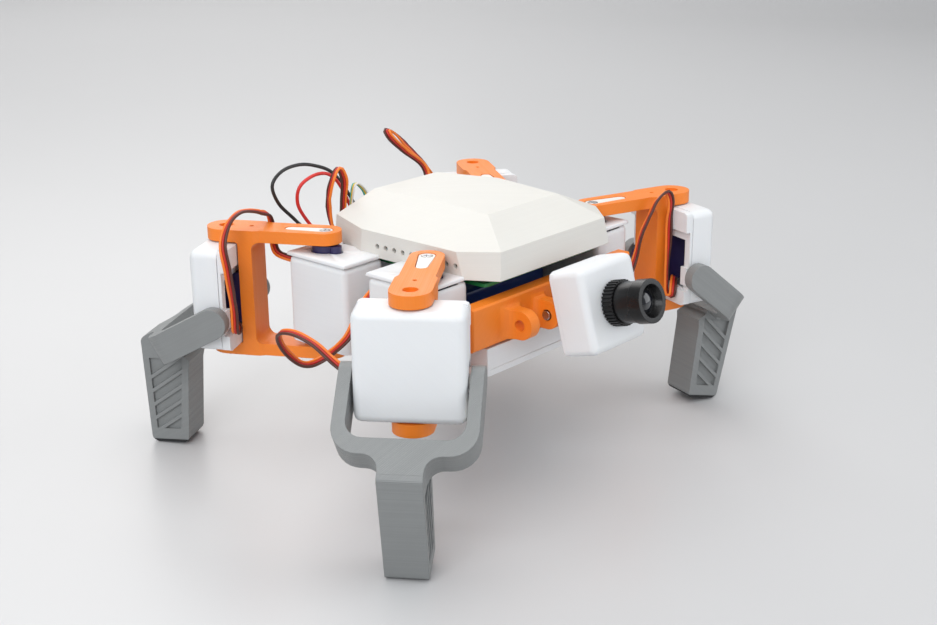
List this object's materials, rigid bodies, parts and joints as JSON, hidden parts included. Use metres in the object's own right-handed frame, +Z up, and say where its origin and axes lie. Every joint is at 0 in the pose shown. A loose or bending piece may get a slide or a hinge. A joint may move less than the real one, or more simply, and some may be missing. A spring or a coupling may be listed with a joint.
{
  "type": "quadruped walking robot",
  "caption": "Four-legged walking robot with printed shell, orange hip brackets, boxed knee servos, grey fork legs and a tilting front camera.",
  "frame": {"origin": "centre of the footprint of everything but the free cables, on the floor under the soles", "axes": "+Z up, -Y the way the camera faces (robot front), +X the robot's left"},
  "size_m": [0.2648, 0.2126, 0.1332],
  "materials": {
    "white_cover": "3D-printed, matte",
    "white_print": "3D-printed, satin",
    "orange_print": "3D-printed, satin",
    "grey_print": "3D-printed, satin",
    "servo_case": "moulded, satin",
    "servo_horn": "moulded nylon",
    "screw_steel": "zinc plated",
    "sole_rubber": "matte",
    "lens_black": "satin",
    "circuit_board": "solder mask",
    "battery_wrap": "shrink wrap",
    "servo_cable": "soft insulation",
    "red_wire": "soft insulation",
    "black_wire": "soft insulation",
    "lens_glass": "coated glass"
  },
  "bodies": {
    "chassis": {"chassis_base": "white_print", "top_cover": "white_cover", "front_panel": "orange_print", "controller_board": "circuit_board", "battery_pack": "battery_wrap", "camera_tilt_pin": "screw_steel", "hip_servo_fr": "servo_case", "hip_servo_rr": "servo_case", "hip_servo_fl": "servo_case", "hip_servo_rl": "servo_case", "knee_cable_fl": "servo_cable", "knee_cable_fr": "servo_cable", "knee_cable_rl": "servo_cable", "knee_cable_rr": "servo_cable", "servo_lead_rear": "servo_cable", "power_wire_red": "red_wire", "power_wire_black": "black_wire", "sensor_lead": "servo_cable"},
    "hip_fr": {"hip_bracket_fr": "orange_print", "hip_horn_fr": "servo_horn", "hip_horn_screw_fr": "screw_steel", "knee_box_cover_fr": "white_print", "knee_box_frame_fr": "white_print", "knee_servo_fr": "servo_case"},
    "shank_fr": {"knee_horn_fr": "servo_horn", "leg_fork_fr": "grey_print", "foot_sole_fr": "sole_rubber"},
    "hip_rr": {"hip_bracket_rr": "orange_print", "hip_horn_rr": "servo_horn", "hip_horn_screw_rr": "screw_steel", "knee_box_cover_rr": "white_print", "knee_box_frame_rr": "white_print", "knee_servo_rr": "servo_case"},
    "shank_rr": {"knee_horn_rr": "servo_horn", "leg_fork_rr": "grey_print", "foot_sole_rr": "sole_rubber"},
    "hip_fl": {"hip_bracket_fl": "orange_print", "hip_horn_fl": "servo_horn", "hip_horn_screw_fl": "screw_steel", "knee_box_cover_fl": "white_print", "knee_box_frame_fl": "white_print", "knee_servo_fl": "servo_case"},
    "shank_fl": {"knee_horn_fl": "servo_horn", "leg_fork_fl": "grey_print", "foot_sole_fl": "sole_rubber"},
    "hip_rl": {"hip_bracket_rl": "orange_print", "hip_horn_rl": "servo_horn", "hip_horn_screw_rl": "screw_steel", "knee_box_cover_rl": "white_print", "knee_box_frame_rl": "white_print", "knee_servo_rl": "servo_case"},
    "shank_rl": {"knee_horn_rl": "servo_horn", "leg_fork_rl": "grey_print", "foot_sole_rl": "sole_rubber"},
    "camera_head": {"camera_housing": "white_print", "camera_back": "white_print", "camera_board": "circuit_board"},
    "lens": {"lens_barrel": "lens_black", "lens_glass": "lens_glass"},
    "lock_ring": {"lens_lock_ring": "lens_black"}
  },
  "joints": [
    {"name": "hip_yaw_fr", "type": "hinge", "parent": "chassis", "child": "hip_fr", "pos_m": [-0.05955, -0.03213, 0.07988], "axis": [0, 0.0401, 0.9992], "range_deg": [-40, 50], "deforming": ["knee_cable_fr"]},
    {"name": "knee_fr", "type": "hinge", "parent": "hip_fr", "child": "shank_fr", "pos_m": [-0.09543, -0.0576, 0.0719], "axis": [0.5736, -0.8185, 0.0329], "range_deg": [-66.1, 48.9]},
    {"name": "hip_yaw_rr", "type": "hinge", "parent": "chassis", "child": "hip_rr", "pos_m": [-0.05955, 0.02782, 0.07748], "axis": [0, 0.0401, 0.9992], "range_deg": [-20, 66], "deforming": ["knee_cable_rr"]},
    {"name": "knee_rr", "type": "hinge", "parent": "hip_rr", "child": "shank_rr", "pos_m": [-0.08078, 0.06574, 0.06695], "axis": [-0.8746, -0.4844, 0.0195], "range_deg": [-53.5, 61.5]},
    {"name": "hip_yaw_fl", "type": "hinge", "parent": "chassis", "child": "hip_fl", "pos_m": [0.05185, -0.03213, 0.07988], "axis": [0, 0.0401, 0.9992], "range_deg": [-66, 24], "deforming": ["knee_cable_fl"]},
    {"name": "knee_fl", "type": "hinge", "parent": "hip_fl", "child": "shank_fl", "pos_m": [0.09327, -0.04674, 0.07146], "axis": [0.3256, 0.9448, -0.0379], "range_deg": [-64.5, 50.5]},
    {"name": "hip_yaw_rl", "type": "hinge", "parent": "chassis", "child": "hip_rl", "pos_m": [0.05185, 0.02782, 0.07748], "axis": [0, 0.0401, 0.9992], "range_deg": [-59, 31], "deforming": ["knee_cable_rl"]},
    {"name": "knee_rl", "type": "hinge", "parent": "hip_rl", "child": "shank_rl", "pos_m": [0.0776, 0.06287, 0.06706], "axis": [-0.809, 0.5873, -0.0236], "range_deg": [-53.8, 61.2]},
    {"name": "camera_tilt", "type": "hinge", "parent": "chassis", "child": "camera_head", "pos_m": [-0.00385, -0.06139, 0.07906], "axis": [1, 0, 0], "range_deg": [-20, 45]},
    {"name": "lens_focus", "type": "hinge", "parent": "camera_head", "child": "lens", "pos_m": [-0.00385, -0.09303, 0.08921], "axis": [0, -0.9548, 0.2974], "range_deg": [-180, 180]},
    {"name": "lens_lock", "type": "hinge", "parent": "camera_head", "child": "lock_ring", "pos_m": [-0.00385, -0.08826, 0.08772], "axis": [0, -0.9548, 0.2974], "range_deg": [-180, 180]}
  ]
}
